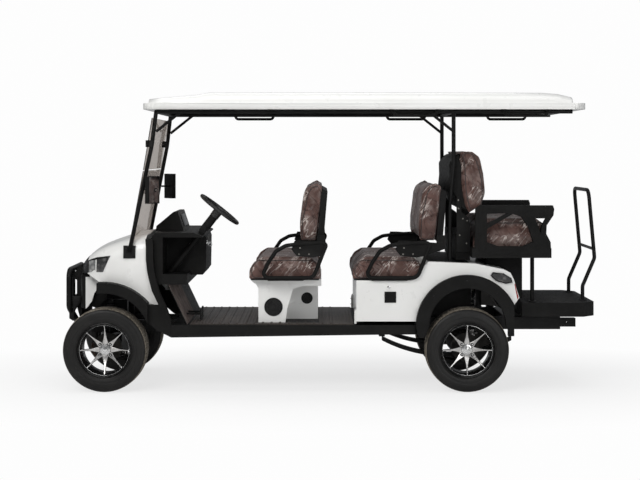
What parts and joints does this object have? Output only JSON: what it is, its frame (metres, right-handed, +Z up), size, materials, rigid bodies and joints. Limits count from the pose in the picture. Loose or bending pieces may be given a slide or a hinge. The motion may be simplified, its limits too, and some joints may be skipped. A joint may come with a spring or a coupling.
{
  "type": "golf cart",
  "caption": "Lifted golf cart with two forward seat rows, a rear-facing seat, a canopy roof, star wheels, steering and a charge flap.",
  "frame": {"origin": "on the ground below the middle of the bounding box", "axes": "+Z up, the nose towards -X, the left side towards -Y"},
  "size_m": [3.9379, 1.3374, 2.1857],
  "materials": {
    "body_white": "gloss",
    "black_plastic": "satin",
    "black_steel": "satin",
    "rubber": "matte",
    "rim_alloy": "satin",
    "bare_steel": "satin",
    "cast_parts": "matte",
    "seat_brown": "satin",
    "mat_brown": "matte",
    "lamp_lens": "gloss",
    "tail_lens": "gloss",
    "tinted_glass": "clear",
    "grip_rubber": "matte",
    "battery_case": "satin",
    "speaker_black": "matte"
  },
  "bodies": {
    "chassis": {"chassis_frame": "black_steel", "front_suspension": "black_steel", "rear_axle": "cast_parts", "rear_suspension": "bare_steel", "battery_pack": "battery_case", "floor_pan": "black_plastic", "floor_mat": "mat_brown", "pedals": "black_steel", "front_cowl": "body_white", "front_fascia": "black_plastic", "headlights": "lamp_lens", "brush_guard": "black_steel", "wheel_arch_flares": "black_plastic", "cowl_trim": "black_plastic", "dashboard": "black_plastic", "steering_column": "black_plastic", "front_seat_pod": "body_white", "speakers": "speaker_black", "front_seat_cushion": "seat_brown", "second_seat_cushion": "seat_brown", "front_backrest": "seat_brown", "second_backrest": "seat_brown", "front_seat_frame": "black_plastic", "second_seat_frame": "black_plastic", "rear_body": "body_white", "tail_lights": "tail_lens", "rear_seat_base": "black_plastic", "rear_seat_cushion": "seat_brown", "rear_backrest": "seat_brown", "rear_backrest_shell": "black_plastic", "footplate": "black_plastic", "rear_grab_bar": "black_steel", "canopy_roof": "body_white", "windscreen": "tinted_glass", "canopy_frame": "black_steel", "grab_handles": "black_plastic", "mirrors": "black_plastic"},
    "steering_wheel_body": {"steering_wheel": "grip_rubber"},
    "knuckle_left_body": {"knuckle_left": "cast_parts"},
    "knuckle_right_body": {"knuckle_right": "cast_parts"},
    "tie_rod_body": {"tie_rod": "bare_steel"},
    "charge_flap_body": {"charge_flap": "black_plastic"},
    "front_wheel_left": {"front_tyre_left": "rubber", "front_rim_left": "rim_alloy"},
    "front_wheel_right": {"front_tyre_right": "rubber", "front_rim_right": "rim_alloy"},
    "rear_wheel_left": {"rear_tyre_left": "rubber", "rear_rim_left": "rim_alloy"},
    "rear_wheel_right": {"rear_tyre_right": "rubber", "rear_rim_right": "rim_alloy"}
  },
  "joints": [
    {"name": "steer_left", "type": "hinge", "parent": "chassis", "child": "knuckle_left_body", "pos_m": [-1.642, -0.35, 0.304], "axis": [0, 0, 1], "range_deg": [-30, 30]},
    {"name": "steer_right", "type": "hinge", "parent": "chassis", "child": "knuckle_right_body", "pos_m": [-1.642, 0.35, 0.304], "axis": [0, 0, 1], "range_deg": [-30, 30]},
    {"name": "steering_wheel_turn", "type": "hinge", "parent": "chassis", "child": "steering_wheel_body", "pos_m": [-0.829, -0.33, 1.312], "axis": [0.6157, 0, 0.788], "range_deg": [-360, 360]},
    {"name": "tie_rod_slide", "type": "slide", "parent": "chassis", "child": "tie_rod_body", "axis": [0, 1, 0], "range_m": [-0.063, 0.063]},
    {"name": "front_wheel_left_spin", "type": "hinge", "parent": "knuckle_left_body", "child": "front_wheel_left", "pos_m": [-1.642, -0.508, 0.304], "axis": [0, 1, 0], "continuous": true},
    {"name": "rear_wheel_left_spin", "type": "hinge", "parent": "chassis", "child": "rear_wheel_left", "pos_m": [0.98, -0.508, 0.304], "axis": [0, 1, 0], "continuous": true},
    {"name": "front_wheel_right_spin", "type": "hinge", "parent": "knuckle_right_body", "child": "front_wheel_right", "pos_m": [-1.642, 0.508, 0.304], "axis": [0, 1, 0], "continuous": true},
    {"name": "rear_wheel_right_spin", "type": "hinge", "parent": "chassis", "child": "rear_wheel_right", "pos_m": [0.98, 0.508, 0.304], "axis": [0, 1, 0], "continuous": true},
    {"name": "charge_flap_hinge", "type": "hinge", "parent": "chassis", "child": "charge_flap_body", "pos_m": [0.384, -0.6033, 0.688], "axis": [0, 0, -1], "range_deg": [0, 100]}
  ],
  "couplings": [
    {"joint": "steer_right", "follows": "steer_left", "ratio": 1},
    {"joint": "steering_wheel_turn", "follows": "steer_left", "ratio": 12},
    {"joint": "tie_rod_slide", "follows": "steer_left", "m_per_rad": 0.12}
  ]
}
